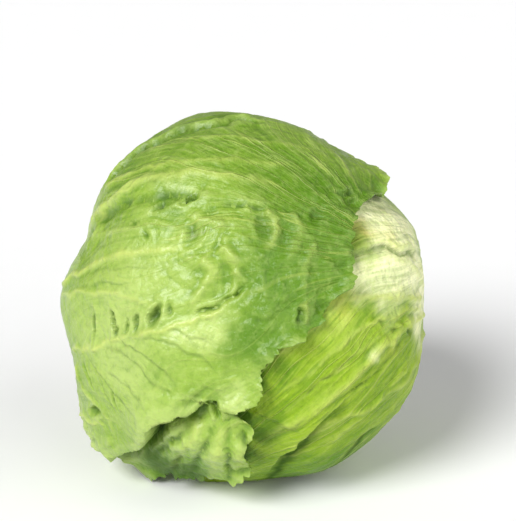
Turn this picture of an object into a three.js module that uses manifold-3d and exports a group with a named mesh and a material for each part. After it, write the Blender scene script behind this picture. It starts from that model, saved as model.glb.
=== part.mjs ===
// Iceberg lettuce head, lying on its side with the crown towards the viewer.
//
// Millimetres, +Z up, the origin under the middle of the head. The head is shaped in its own face
// frame, as it is seen from the front: x to the right, y up, z out of the crown, the stem along -z.
// A tilted group then tips the crown up a little and lifts the head onto its resting spot.
//
// Every surface is a distance from the head's centre, so the pieces nest like shells: a dense heart,
// the stem with its core inside the heart, and six wrapper leaves, each in a layer of its own.

import * as THREE from "three";
import { mergeVertices } from "three/addons/utils/BufferGeometryUtils.js";
import Module from "manifold-3d";

const wasm = await Module();
wasm.setup();

const DEGREE = Math.PI / 180;

// Driving dimensions: the head
const OUTLINE_RADII = [77, 79, 75, 74, 77, 80, 80, 77, 74, 79, 78, 81, 82, 80, 80, 82, 81, 80];
const CROWN_DEPTH = 72;
const STEM_DEPTH = 66;
const CROWN_TILT = 18 * DEGREE;
const CENTRE_SIDE = 1.8;
const CENTRE_BACK = 4;
const CENTRE_HEIGHT = 74.5;
const PUCKER_HEIGHT = 1.1;
const PUCKER_LENGTH = 42;

// Driving dimensions: the leaves
const LEAF_THICKNESS = 1.2;
const LAYER_PITCH = 2.6;
const RISE_WHERE_BARE = 0.45;
const BARE_FROM = 1.1;
const BARE_TO = 1.45;
const LYING_FROM = 1.04;
const LYING_TO = 1.16;
const RIB_HEIGHT = 1.8;
const RIB_COUNT = 14;
const RIB_START = 12 * DEGREE;
const RIB_FULL = 40 * DEGREE;
const RIB_FADE_FROM = 0.55;
const RUFFLE_HEIGHT = 3.2;
const RUFFLE_COUNT = 15;
const TOOTH_DEPTH = 1.6;
const TOOTH_COUNT = 34;

// Driving dimensions: the stem and its core
const STEM_RADIUS = 16;
const STEM_PROUD = -2;
const CORE_LENGTH = 44;
const CORE_TIP_RADIUS = 7;
const STEM_GAP = 0.5;
const STEM_SIDES = 20;

// Driving dimensions: the heart
const HEART_LAYER = 3.9;
const HEART_WRAPS = 5;
const HEART_STEP = 0.8;
const HEART_COLUMNS = 40;
const HEART_ROWS = 20;

const DOWN = new THREE.Vector3(0, -Math.cos(CROWN_TILT), -Math.sin(CROWN_TILT));
const STEM_WAY = new THREE.Vector3(0, 0, -1);

function smoothstep(low, high, value) {
  return THREE.MathUtils.smoothstep(value, low, high);
}

// A smooth closed curve through [angle, value] knots, read at any angle in radians.
function closedCurve(knots) {
  const turn = 2 * Math.PI;
  const sorted = knots.map(([a, v]) => [((a % turn) + turn) % turn, v]).sort((p, q) => p[0] - q[0]);
  const count = sorted.length;
  const knot = (i) => {
    const wrap = Math.floor(i / count);
    const [a, v] = sorted[i - wrap * count];
    return [a + wrap * turn, v];
  };
  const slope = (i) => (knot(i + 1)[1] - knot(i - 1)[1]) / (knot(i + 1)[0] - knot(i - 1)[0]);
  return (angle) => {
    const a = ((angle % turn) + turn) % turn;
    let i = sorted.findIndex(([start]) => start > a) - 1;
    if (i === -2) i = count - 1;
    const [a0, v0] = knot(i);
    const [a1, v1] = knot(i + 1);
    const span = a1 - a0;
    const s = ((((a - a0) % turn) + turn) % turn) / span;
    const m0 = slope(i) * span;
    const m1 = slope(i + 1) * span;
    return (
      v0 * (1 + 2 * s) * (1 - s) ** 2 + m0 * s * (1 - s) ** 2 + v1 * s * s * (3 - 2 * s) + m1 * s * s * (s - 1)
    );
  };
}

const outlineRadius = closedCurve(OUTLINE_RADII.map((r, i) => [(i * 2 * Math.PI) / OUTLINE_RADII.length, r]));

// The head's plain surface, before layers and puckers, as a distance from its centre.
function plainRadius(way) {
  const side = outlineRadius(Math.atan2(way.y, way.x));
  const depth = way.z > 0 ? CROWN_DEPTH : STEM_DEPTH;
  return 1 / Math.sqrt((way.x ** 2 + way.y ** 2) / side ** 2 + way.z ** 2 / depth ** 2);
}

// Long soft puckers that every layer shares, so that the layers keep their gaps.
function pucker(way) {
  const k = (2 * Math.PI * CROWN_DEPTH) / PUCKER_LENGTH;
  const wave =
    Math.sin(k * (way.x + 0.35 * way.y) + 0.6) +
    Math.sin(k * (way.y - 0.4 * way.z) + 2.1) +
    Math.sin(k * (0.8 * way.z + 0.5 * way.x) + 4.0);
  return (PUCKER_HEIGHT * wave) / 3;
}

// The direction of a point of the head that is seen at (x, y) from the front, or from the front
// through the head where the point is on the far side.
function seenAt(x, y, side) {
  const way = new THREE.Vector3();
  let z = 0.3;
  for (let round = 0; round < 12; round += 1) {
    way.set(x, y, side * z).normalize();
    const r = plainRadius(way);
    const inside = r * r - x * x - y * y;
    z = inside > 0 ? Math.sqrt(inside) : 0;
  }
  return way.set(x, y, side * z).normalize();
}
const front = (x, y) => seenAt(x, y, 1);
const back = (x, y) => seenAt(x, y, -1);

// A leaf's own polar chart on the head: an angle round the leaf's middle and a distance from it.
class LeafChart {
  constructor(middle, outline) {
    this.middle = middle;
    this.east = new THREE.Vector3(0, 1, 0).cross(middle).normalize();
    this.north = middle.clone().cross(this.east);
    this.reach = closedCurve(outline.map((way) => [this.angle(way), this.middle.angleTo(way)]));
  }
  angle(way) {
    return Math.atan2(way.dot(this.north), way.dot(this.east));
  }
  share(way) {
    return this.middle.angleTo(way) / this.reach(this.angle(way));
  }
  way(angle, distance) {
    return this.middle
      .clone()
      .multiplyScalar(Math.cos(distance))
      .addScaledVector(this.east, Math.sin(distance) * Math.cos(angle))
      .addScaledVector(this.north, Math.sin(distance) * Math.sin(angle));
  }
}

// The outline of a plain wrapper leaf whose midrib leaves the stem at an azimuth round it.
function plainLeaf(azimuth, middleFromStem, reach, halfWidth, stemClear) {
  const a = azimuth * DEGREE;
  const g = middleFromStem * DEGREE;
  const middle = new THREE.Vector3(Math.sin(g) * Math.cos(a), Math.sin(g) * Math.sin(a), -Math.cos(g));
  const toStem = STEM_WAY.clone().addScaledVector(middle, -STEM_WAY.dot(middle)).normalize();
  const across = middle.clone().cross(toStem);
  const spot = (turn, distance) => {
    const d = distance * DEGREE;
    return middle
      .clone()
      .multiplyScalar(Math.cos(d))
      .addScaledVector(toStem, Math.sin(d) * Math.cos(turn * DEGREE))
      .addScaledVector(across, Math.sin(d) * Math.sin(turn * DEGREE));
  };
  const base = middleFromStem - stemClear;
  const outline = [spot(0, base), spot(180, reach)];
  for (const side of [-1, 1]) {
    outline.push(spot(side * 24, 0.92 * base), spot(side * 55, 0.9 * halfWidth));
    outline.push(spot(side * 95, halfWidth), spot(side * 140, 0.5 * (halfWidth + reach)));
  }
  return { middle, outline, ribRoot: STEM_WAY };
}

// The wrapper leaves, from the outermost in. Outlines are points in millimetres as seen from the front.
const LEAVES = [
  {
    name: "leaf_left",
    layer: 0,
    cells: 30,
    colour: 0xa3c35e,
    ribRoot: new THREE.Vector3(-0.7, -0.2, -0.68).normalize(),
    middle: front(-64, 2),
    outline: [
      [front, 59, 45],
      [front, 46, 38],
      [front, 39, 26],
      [front, 39, 14],
      [front, 36, 4],
      [front, 25, -10],
      [front, 11, -18],
      [front, 5, -34],
      [front, 0, -48],
      [front, -1, -64],
      [front, -22, -73],
      [front, -44, -71],
      [back, -46, -58],
      [back, -36, -34],
      [back, -22, -16],
      [back, -21, 4],
      [back, -24, 24],
      [back, -14, 50],
      [back, 12, 66],
      [back, 40, 60],
    ],
    bulges: [
      { at: front(-62, -60), height: 7, width: 20 },
      { at: front(-38, -46), height: 3, width: 14 },
      { at: front(-30, -20), height: 2, width: 16 },
      { at: front(-36, 44), height: 2, width: 18 },
    ],
  },
  {
    name: "leaf_right",
    layer: 1,
    cells: 24,
    colour: 0xb9cc74,
    ribRoot: new THREE.Vector3(0.75, 0.45, -0.48).normalize(),
    middle: front(68, -14),
    outline: [
      [front, -14, -58],
      [front, -16, -76],
      [back, -14, -68],
      [back, 14, -58],
      [back, 34, -44],
      [back, 34, -26],
      [back, 22, -12],
      [back, 21, 6],
      [back, 30, 28],
      [back, 50, 46],
      [front, 54, 56],
      [front, 24, 48],
      [front, 4, 20],
      [front, -6, -14],
      [front, -10, -38],
    ],
    bulges: [],
  },
  {
    name: "leaf_lower",
    layer: 2,
    cells: 16,
    colour: 0x93b945,
    ...plainLeaf(-72, 76, 46, 54, 19),
    bulges: [],
  },
  {
    name: "leaf_top",
    layer: 2,
    cells: 16,
    colour: 0x9bbd52,
    ...plainLeaf(93, 74, 50, 58, 19),
    bulges: [],
  },
  {
    name: "leaf_under",
    layer: 3,
    cells: 16,
    colour: 0x8fb34a,
    ...plainLeaf(-132, 72, 46, 56, 19),
    bulges: [],
  },
  {
    name: "leaf_upper_right",
    layer: 3,
    cells: 16,
    colour: 0xb4ca70,
    ...plainLeaf(40, 70, 52, 56, 19),
    bulges: [],
  },
];

for (const leaf of LEAVES) {
  const outline = leaf.outline.map((p) => (p.isVector3 ? p : p[0](p[1], p[2])));
  leaf.chart = new LeafChart(leaf.middle, outline);
  const along = leaf.middle.clone().addScaledVector(leaf.ribRoot, -leaf.middle.dot(leaf.ribRoot));
  leaf.ribAlong = along.normalize();
  leaf.ribAcross = leaf.ribRoot.clone().cross(leaf.ribAlong);
}

// How bare a spot of a layer is: 0 where an outer leaf covers it, 1 where none does.
function bareness(way, layer, from, to) {
  let bare = 1;
  for (const leaf of LEAVES) {
    if (leaf.layer < layer) bare *= smoothstep(from, to, leaf.chart.share(way));
  }
  return bare;
}

// The furthest that a layer reaches before it meets the surface that the head lies on.
function floorLimit(way, depth) {
  const fall = way.dot(DOWN);
  return fall > 0.05 ? (CENTRE_HEIGHT - depth) / fall : Infinity;
}

// The leaf's main veins: low ridges that fan out from the root of its midrib, from 0 between them to 1.
function ribs(leaf, way) {
  const fan = Math.atan2(way.dot(leaf.ribAcross), way.dot(leaf.ribAlong));
  const ridge = (0.5 + 0.5 * Math.cos(RIB_COUNT * fan)) ** 2;
  return ridge * smoothstep(RIB_START, RIB_FULL, leaf.ribRoot.angleTo(way));
}

// The outer face of a leaf, as a distance from the head's centre. Share is 0 at its middle and 1 on its margin.
function leafRadius(leaf, way, share, angle) {
  const bare = bareness(way, leaf.layer, BARE_FROM, BARE_TO);
  const depth = LAYER_PITCH * leaf.layer;
  let r = plainRadius(way) + pucker(way) - depth * (1 - RISE_WHERE_BARE * bare);
  r += bare * RIB_HEIGHT * ribs(leaf, way) * (1 - smoothstep(RIB_FADE_FROM, 1, share));
  for (const bulge of leaf.bulges) {
    const near = (bulge.at.angleTo(way) * CROWN_DEPTH) / bulge.width;
    r += bulge.height * Math.exp(-near * near);
  }
  r += bare * RUFFLE_HEIGHT * share ** 8 * (0.55 + 0.45 * Math.sin(RUFFLE_COUNT * angle + leaf.layer));
  const lying = bareness(way, leaf.layer, LYING_FROM, LYING_TO);
  return Math.min(r, floorLimit(way, depth * (1 - lying)));
}

// A square sheet of cells mapped onto a round leaf: the share from the middle and the angle of a grid point.
function discPoint(p, q) {
  if (p === 0 && q === 0) return [0, 0];
  if (Math.abs(p) > Math.abs(q)) {
    return [Math.abs(p), (Math.PI / 4) * (q / p) + (p < 0 ? Math.PI : 0)];
  }
  return [Math.abs(q), Math.PI / 2 - (Math.PI / 4) * (p / q) + (q < 0 ? Math.PI : 0)];
}

function geometryFrom(points, faces) {
  const geometry = new THREE.BufferGeometry();
  geometry.setAttribute("position", new THREE.Float32BufferAttribute(points.flatMap((p) => p.toArray()), 3));
  geometry.setIndex(faces.flat());
  geometry.computeVertexNormals();
  return geometry;
}

// One wrapper leaf: an outer and an inner face over the same cells, closed along the toothed margin.
function leafGeometry(leaf) {
  const n = leaf.cells;
  const outer = [];
  const inner = [];
  for (let j = 0; j <= n; j += 1) {
    for (let i = 0; i <= n; i += 1) {
      const [share, angle] = discPoint((2 * i) / n - 1, (2 * j) / n - 1);
      const teeth = 1 + (TOOTH_DEPTH / CROWN_DEPTH) * share ** 12 * Math.sin(TOOTH_COUNT * angle);
      const way = leaf.chart.way(angle, share * leaf.chart.reach(angle) * teeth);
      const r = leafRadius(leaf, way, share, angle);
      outer.push(way.clone().multiplyScalar(r));
      inner.push(way.clone().multiplyScalar(r - LEAF_THICKNESS));
    }
  }
  const size = outer.length;
  const at = (i, j) => j * (n + 1) + i;
  const faces = [];
  for (let j = 0; j < n; j += 1) {
    for (let i = 0; i < n; i += 1) {
      const [a, b, c, d] = [at(i, j), at(i + 1, j), at(i + 1, j + 1), at(i, j + 1)];
      for (const [u, v, w] of [[a, b, c], [a, c, d]]) {
        faces.push([u, v, w], [size + u, size + w, size + v]);
      }
    }
  }
  const rim = [];
  for (let i = 0; i < n; i += 1) rim.push(at(i, 0));
  for (let j = 0; j < n; j += 1) rim.push(at(n, j));
  for (let i = n; i > 0; i -= 1) rim.push(at(i, n));
  for (let j = n; j > 0; j -= 1) rim.push(at(0, j));
  rim.forEach((u, k) => {
    const v = rim[(k + 1) % rim.length];
    faces.push([u, size + u, size + v], [u, size + v, v]);
  });
  return geometryFrom([...outer, ...inner], faces);
}

// The stem's side from the tip of the core to the cut face, as [radius, distance from the centre].
function stemProfile(gap) {
  const cut = STEM_DEPTH + STEM_PROUD + (gap > 0 ? 20 : 0);
  const tip = STEM_DEPTH + STEM_PROUD - CORE_LENGTH - gap;
  return [
    [0, tip],
    [CORE_TIP_RADIUS * 0.8 + gap, tip + 1.5],
    [CORE_TIP_RADIUS + 2 + gap, tip + 7],
    [STEM_RADIUS - 3 + gap, tip + 0.6 * CORE_LENGTH],
    [STEM_RADIUS + gap, STEM_DEPTH - 4],
    [STEM_RADIUS + gap, cut],
    [0, cut],
  ];
}

// A turned solid along the stem's way.
function stemGeometry(gap) {
  const profile = stemProfile(gap).map(([r, h]) => new THREE.Vector2(r, h));
  return new THREE.LatheGeometry(profile, STEM_SIDES).rotateX(-Math.PI / 2);
}

function toSolid(geometry) {
  const bare = geometry.clone();
  for (const name of Object.keys(bare.attributes)) {
    if (name !== "position") bare.deleteAttribute(name);
  }
  const merged = mergeVertices(bare, 1e-3);
  return new wasm.Manifold(
    new wasm.Mesh({
      numProp: 3,
      vertProperties: merged.attributes.position.array,
      triVerts: new Uint32Array(merged.index.array),
    }),
  );
}

function toGeometry(solid) {
  const mesh = solid.getMesh();
  const geometry = new THREE.BufferGeometry();
  geometry.setAttribute("position", new THREE.BufferAttribute(mesh.vertProperties, 3));
  geometry.setIndex(new THREE.BufferAttribute(mesh.triVerts, 1));
  geometry.computeVertexNormals();
  return geometry;
}

// The dense heart: tightly wrapped inner leaves as one body, each wrap a low step, hollowed for the core.
function heartGeometry() {
  const ball = new THREE.SphereGeometry(1, HEART_COLUMNS, HEART_ROWS).rotateX(Math.PI / 2);
  const spots = ball.attributes.position;
  const way = new THREE.Vector3();
  for (let i = 0; i < spots.count; i += 1) {
    way.fromBufferAttribute(spots, i).normalize();
    const turn = (HEART_WRAPS * Math.atan2(way.y, way.x)) / (2 * Math.PI) + 0.8 * way.z;
    const step = (turn - Math.floor(turn)) * (1 - way.z ** 4);
    const depth = LAYER_PITCH * HEART_LAYER + HEART_STEP * (Math.abs(way.z) > 0.999 ? 0 : step);
    const r = Math.min(plainRadius(way) + pucker(way) - depth, floorLimit(way, depth));
    spots.setXYZ(i, way.x * r, way.y * r, way.z * r);
  }
  return toGeometry(toSolid(ball).subtract(toSolid(stemGeometry(STEM_GAP))));
}

function piece(name, geometry, colour, roughness) {
  const mesh = new THREE.Mesh(geometry, new THREE.MeshStandardMaterial({ color: colour, roughness, metalness: 0 }));
  mesh.name = name;
  return mesh;
}

const head = new THREE.Group();
head.add(piece("heart", heartGeometry(), 0xc9d68f, 0.5));
head.add(piece("stem", stemGeometry(0), 0xd9d2a8, 0.6));
for (const leaf of LEAVES) head.add(piece(leaf.name, leafGeometry(leaf), leaf.colour, 0.42));

head.rotation.x = Math.PI / 2 - CROWN_TILT;
head.position.set(CENTRE_SIDE, CENTRE_BACK, CENTRE_HEIGHT);

const lettuce = new THREE.Group();
lettuce.add(head);

export default lettuce;
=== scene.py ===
# Iceberg lettuce: the finished leaves, heart and stem of a head that lies on its side, and its stage.
#
# The head is shaped in its own face frame, in millimetres, as its solids are: x to the right, y up and
# z out of the crown, as it is seen from the front, with the stem along -z. A tilted frame then carries it
# to metres. Every leaf is a sheet at a distance from the head's centre, and the leaves nest like shells.

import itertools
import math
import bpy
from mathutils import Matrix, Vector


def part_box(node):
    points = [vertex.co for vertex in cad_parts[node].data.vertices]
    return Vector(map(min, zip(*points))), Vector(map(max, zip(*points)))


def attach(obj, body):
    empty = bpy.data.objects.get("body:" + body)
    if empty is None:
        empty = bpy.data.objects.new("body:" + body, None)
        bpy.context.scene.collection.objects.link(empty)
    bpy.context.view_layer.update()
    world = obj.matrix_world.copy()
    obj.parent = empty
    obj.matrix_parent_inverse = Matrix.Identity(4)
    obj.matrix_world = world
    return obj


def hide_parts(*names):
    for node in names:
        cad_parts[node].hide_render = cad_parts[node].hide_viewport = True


bl_info = {
    "name": "Iceberg Lettuce",
    "version": (1, 0, 0),
    "blender": (4, 5, 0),
    "location": "View3D > Sidebar > Lettuce",
    "description": "Builds a head of iceberg lettuce leaf by leaf, and the stage it lies on",
    "category": "Object",
}

import bpy
import numpy as np
from bpy.props import FloatProperty, FloatVectorProperty, IntProperty, PointerProperty
from mathutils import Vector

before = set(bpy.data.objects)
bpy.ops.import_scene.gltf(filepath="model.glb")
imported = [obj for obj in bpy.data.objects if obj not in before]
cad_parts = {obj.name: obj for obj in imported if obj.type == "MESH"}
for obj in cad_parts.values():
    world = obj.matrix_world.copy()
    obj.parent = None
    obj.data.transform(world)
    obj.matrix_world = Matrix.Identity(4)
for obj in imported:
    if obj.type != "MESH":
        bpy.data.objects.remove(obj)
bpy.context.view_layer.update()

MM = 0.001
DEGREE = math.pi / 180
TURN = 2 * math.pi

# The head's form, in millimetres, as the frame's solids have it
OUTLINE_RADII = (77, 79, 75, 74, 77, 80, 80, 77, 74, 79, 78, 81, 82, 80, 80, 82, 81, 80)
CROWN_DEPTH = 72
STEM_DEPTH = 66
CROWN_TILT = 18 * DEGREE
PUCKER_HEIGHT = 1.1
PUCKER_LENGTH = 42
STEM_RADIUS = 16
STEM_CUT = 64
LAYER_PITCH = 2.6
STEM_WAY = np.array((0.0, 0.0, -1.0))
DOWN = np.array((0.0, -math.cos(CROWN_TILT), -math.sin(CROWN_TILT)))


def head_centre():
    """The head's centre in the frame, in millimetres, worked out from where its stem is."""
    low, high = (np.array(corner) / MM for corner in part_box("stem"))
    sine, cosine = math.sin(CROWN_TILT), math.cos(CROWN_TILT)
    back = high[1] - STEM_CUT * cosine - STEM_RADIUS * sine
    height = low[2] + STEM_CUT * sine + STEM_RADIUS * cosine
    return np.array(((low[0] + high[0]) / 2, back, height))


CENTRE = head_centre()


def to_frame(points):
    """Points of the face frame, in millimetres, as points of the frame, in metres."""
    sine, cosine = math.sin(CROWN_TILT), math.cos(CROWN_TILT)
    x, y, z = points[..., 0], points[..., 1], points[..., 2]
    turned = np.stack((x, y * sine - z * cosine, y * cosine + z * sine), axis=-1)
    return (turned + CENTRE) * MM


def unit(vectors):
    return vectors / np.linalg.norm(vectors, axis=-1, keepdims=True)


def smoothstep(low, high, value):
    t = np.clip((value - low) / (high - low), 0, 1)
    return t * t * (3 - 2 * t)


def bell(distance, width):
    return np.exp(-((distance / width) ** 2))


def between(a, b):
    """The angle between directions."""
    return np.arccos(np.clip(np.sum(a * b, axis=-1), -1, 1))


def closed_curve(angles, values):
    """A smooth closed curve through values at angles in radians, as a function of the angle."""
    order = np.argsort(np.mod(angles, TURN))
    knots = np.mod(angles, TURN)[order]
    heights = np.asarray(values, float)[order]
    knots = np.concatenate((knots[-2:] - TURN, knots, knots[:3] + TURN))
    heights = np.concatenate((heights[-2:], heights, heights[:3]))
    slopes = np.zeros(len(knots))
    slopes[1:-1] = (heights[2:] - heights[:-2]) / (knots[2:] - knots[:-2])

    def read(angle):
        a = np.mod(angle, TURN)
        i = np.searchsorted(knots, a, side="right") - 1
        span = knots[i + 1] - knots[i]
        s = (a - knots[i]) / span
        start = heights[i] * (1 + 2 * s) * (1 - s) ** 2 + slopes[i] * span * s * (1 - s) ** 2
        end = heights[i + 1] * s * s * (3 - 2 * s) + slopes[i + 1] * span * s * s * (s - 1)
        return start + end

    return read


class Noise:
    """Smooth seeded noise in space, from about -1 to 1."""

    def __init__(self, seed):
        draw = np.random.default_rng(seed)
        self.slopes = unit(draw.normal(size=(256, 3)))
        self.order = draw.permutation(256)

    def __call__(self, points, size=1.0):
        place = points / size
        cell = np.floor(place).astype(int)
        part = place - cell
        ease = part**3 * (part * (part * 6 - 15) + 10)
        total = np.zeros(len(points))
        for corner in itertools.product((0, 1), repeat=3):
            i = cell + corner
            key = self.order[i[:, 0] & 255]
            key = self.order[(key + i[:, 1]) & 255]
            key = self.order[(key + i[:, 2]) & 255]
            weight = np.prod(np.where(corner, ease, 1 - ease), axis=1)
            total += weight * np.sum(self.slopes[key] * (part - corner), axis=1)
        return 1.7 * total


outline_radius = closed_curve(np.arange(len(OUTLINE_RADII)) * TURN / len(OUTLINE_RADII), OUTLINE_RADII)


def plain_radius(ways):
    """The head's plain surface, before layers and puckers, as a distance from its centre."""
    side = outline_radius(np.arctan2(ways[..., 1], ways[..., 0]))
    depth = np.where(ways[..., 2] > 0, CROWN_DEPTH, STEM_DEPTH)
    flat = ways[..., 0] ** 2 + ways[..., 1] ** 2
    return 1 / np.sqrt(flat / side**2 + ways[..., 2] ** 2 / depth**2)


def pucker(ways):
    """Long soft puckers that every layer shares."""
    k = TURN * CROWN_DEPTH / PUCKER_LENGTH
    x, y, z = ways[..., 0], ways[..., 1], ways[..., 2]
    wave = np.sin(k * (x + 0.35 * y) + 0.6) + np.sin(k * (y - 0.4 * z) + 2.1)
    wave += np.sin(k * (0.8 * z + 0.5 * x) + 4.0)
    return PUCKER_HEIGHT * wave / 3


def seen_at(points, side):
    """Directions of the spots of the head that are seen at points from the front, or through the head."""
    flat = np.asarray(points, float)
    z = np.full(len(flat), 0.3)
    for _ in range(12):
        ways = unit(np.column_stack((flat, side * z)))
        inside = plain_radius(ways) ** 2 - np.sum(flat**2, axis=1)
        z = np.sqrt(np.maximum(inside, 0))
    return unit(np.column_stack((flat, side * z)))


def front(points):
    return seen_at(points, 1)


def back(points):
    return seen_at(points, -1)


def floor_limit(ways):
    """The furthest that the head reaches before it meets the surface it lies on."""
    fall = ways @ DOWN
    return np.where(fall > 0.05, CENTRE[2] / np.maximum(fall, 0.05), np.inf)


class Line:
    """A smooth line drawn on the head through points in millimetres as seen from the front."""

    STEPS = 6

    def __init__(self, points):
        knots = np.asarray(points, float)
        ends = (2 * knots[:1] - knots[1:2], knots, 2 * knots[-1:] - knots[-2:-1])
        knots = np.concatenate(ends)
        flat = []
        for a, b, c, d in zip(knots, knots[1:], knots[2:], knots[3:]):
            for t in np.arange(self.STEPS) / self.STEPS:
                bend = (2 * a - 5 * b + 4 * c - d) * t**2 + (3 * b - a - 3 * c + d) * t**3
                flat.append(0.5 * (2 * b + (c - a) * t + bend))
        flat.append(knots[-2])
        ways = front(np.array(flat))
        self.spots = ways * plain_radius(ways)[:, None]

    def near(self, spots, reach):
        """Distance to the line, share of its length, distance to its right and the way to its right."""
        distance = np.full(len(spots), 1e3)
        along = np.zeros(len(spots))
        right = np.zeros(len(spots))
        rightward = np.zeros((len(spots), 3))
        middle = self.spots.mean(axis=0)
        span = np.linalg.norm(self.spots - middle, axis=1).max() + reach
        close = np.flatnonzero(np.linalg.norm(spots - middle, axis=1) < span)
        here = spots[close]
        steps = np.linalg.norm(np.diff(self.spots, axis=0), axis=1)
        starts = np.concatenate(((0,), np.cumsum(steps)))
        best = np.full(len(here), 1e3)
        for k, step in enumerate(steps):
            way = (self.spots[k + 1] - self.spots[k]) / step
            t = np.clip((here - self.spots[k]) @ way, 0, step)
            gap = here - self.spots[k] - t[:, None] * way
            far = np.linalg.norm(gap, axis=1)
            nearer = far < best
            best[nearer] = far[nearer]
            aside = unit(np.cross(way, unit(self.spots[k])))
            spot = close[nearer]
            distance[spot] = far[nearer]
            along[spot] = (starts[k] + t[nearer]) / starts[-1]
            right[spot] = gap[nearer] @ aside
            rightward[spot] = aside
        return distance, along, right, rightward


class Relief:
    """What a leaf adds to its plain sheet at some spots: heights in millimetres, slides and marks."""

    SHOULDER = 0.25
    WAVER = Noise(41)

    def __init__(self, ways):
        self.ways = ways
        self.spots = ways * plain_radius(ways)[:, None]
        self.drawn = self.spots + self.waver(1.5, 9) + self.waver(0.7, 3.5)
        self.height = np.zeros(len(ways))
        self.slide = np.zeros((len(ways), 3))
        self.vein = np.zeros(len(ways))
        self.painted_shade = np.zeros(len(ways))
        self.uneven = np.clip(0.85 + 0.55 * self.WAVER(self.spots + 300, 8), 0.25, 1.4)

    def waver(self, reach, size):
        """Small moves of every spot, so that drawn lines and dents run unevenly."""
        return reach * np.column_stack([self.WAVER(self.spots + 100 * k, size) for k in range(3)])

    def ridge(self, points, width, height, pale):
        """A raised vein that thins out towards its last point."""
        distance, along, _, _ = Line(points).near(self.drawn, 4 * width)
        taper = smoothstep(0, 0.08, along) * (1 - 0.75 * along) * (1 - smoothstep(0.85, 1, along))
        self.height += height * self.uneven * taper * bell(distance, width)
        self.vein = np.maximum(self.vein, pale * taper**0.5 * bell(distance, 0.75 * width))

    def groove(self, points, width, depth):
        """A groove, deepest at its middle, with painted shade along its floor."""
        distance, along, _, _ = Line(points).near(self.drawn, 4 * width)
        taper = smoothstep(0, 0.25, along) * (1 - smoothstep(0.75, 1, along)) * self.uneven
        shoulders = self.SHOULDER * bell(distance - 2 * width, width)
        self.height += depth * taper * (shoulders - bell(distance, width))
        self.painted_shade = np.maximum(self.painted_shade, 0.65 * taper * bell(distance, 0.6 * width))

    def hairline(self, points, width):
        """A thin vein that shows only as a fine line of painted shadow beside a low lip."""
        _, along, right, _ = Line(points).near(self.drawn, 4 * width)
        taper = smoothstep(0, 0.1, along) * (1 - smoothstep(0.7, 1, along))
        self.height += 0.35 * taper * (bell(right + width, width) - bell(right, width))
        self.painted_shade = np.maximum(self.painted_shade, 0.3 * taper * bell(right, 0.7 * width))

    def pit(self, at, long, short, lean, depth):
        """A dent or slit, steep on its left, with its long side leaning from upright to the right."""
        way = front([at])[0]
        gap = self.drawn - way * plain_radius(way[None])[0]
        upright = np.array((math.sin(lean * DEGREE), math.cos(lean * DEGREE), 0.0))
        upright = unit(upright - (upright @ way) * way)
        aside = gap @ np.cross(upright, way) / short
        aside = np.where(aside > 0, aside / 1.6, aside)
        far = np.sqrt((gap @ upright / long) ** 2 + aside**2)
        near = bell(gap @ way, 25)
        shape = np.exp(-(far**2.4)) * near
        shoulders = self.SHOULDER * bell(far - 1.7, 0.6) * near
        self.height += depth * (shoulders - shape)
        # Painted shade in the dent, stronger for deeper dents
        strength = min(0.3 * depth, 0.9)
        self.painted_shade = np.maximum(self.painted_shade, strength * np.exp(-((1.2 * far) ** 2)) * near)

    def slit(self, points, width, strength):
        """A line of painted shadow where a fold closes."""
        distance, along, _, _ = Line(points).near(self.drawn, 4 * width)
        taper = smoothstep(0, 0.2, along) * (1 - smoothstep(0.75, 1, along))
        self.painted_shade = np.maximum(self.painted_shade, strength * taper * bell(distance, width))

    def bulge(self, at, width, height):
        way = front([at])[0]
        self.height += height * bell(between(self.ways, way) * CROWN_DEPTH, width)

    def fold(self, points, lip, gutter, overhang, lip_width, gutter_width):
        """A lip that hangs over a gutter on the right of a line."""
        _, along, right, rightward = Line(points).near(self.drawn, 30)
        near = np.abs(right) < 30
        taper = smoothstep(0, 0.2, along) * (1 - smoothstep(0.8, 1, along)) * near
        past = smoothstep(-0.9, 0.9, right)
        rise = lip * bell(right, lip_width) * (1 - past)
        fall = gutter * bell(right, gutter_width) * past
        self.height += taper * (rise - fall)
        self.slide += (taper * overhang * bell(right + 0.8, 2.2))[:, None] * rightward
        # Painted shade in the gutter, just past the lip
        gutter_shade = past * bell(right - 0.2 * gutter_width, 0.6 * gutter_width)
        self.painted_shade = np.maximum(self.painted_shade, min(gutter / 6, 1) * taper**0.5 * gutter_shade)

    def blots(self, spots):
        """Patches with uneven edges as one mark, each from a place, a width and a strength."""
        ways = unit(self.spots + self.waver(7, 18) + self.waver(2.5, 6))
        mark = np.zeros(len(ways))
        for x, y, width, strength in spots:
            way = front([(x, y)])[0]
            mark += strength * bell(between(ways, way) * CROWN_DEPTH, width)
        return smoothstep(0.08, 0.92, mark)


class LeafChart:
    """A leaf's own polar chart: an angle round its middle and a share of the way to its margin."""

    def __init__(self, middle, outline):
        self.middle = middle
        self.east = unit(np.cross((0.0, 1.0, 0.0), middle))
        self.north = np.cross(middle, self.east)
        self.reach = closed_curve(self.angle(outline), between(outline, middle))

    def angle(self, ways):
        return np.arctan2(ways @ self.north, ways @ self.east)

    def share(self, ways):
        return between(ways, self.middle) / self.reach(self.angle(ways))

    def way(self, angle, distance):
        turned = np.cos(angle)[:, None] * self.east + np.sin(angle)[:, None] * self.north
        return np.cos(distance)[:, None] * self.middle + np.sin(distance)[:, None] * turned


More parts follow.
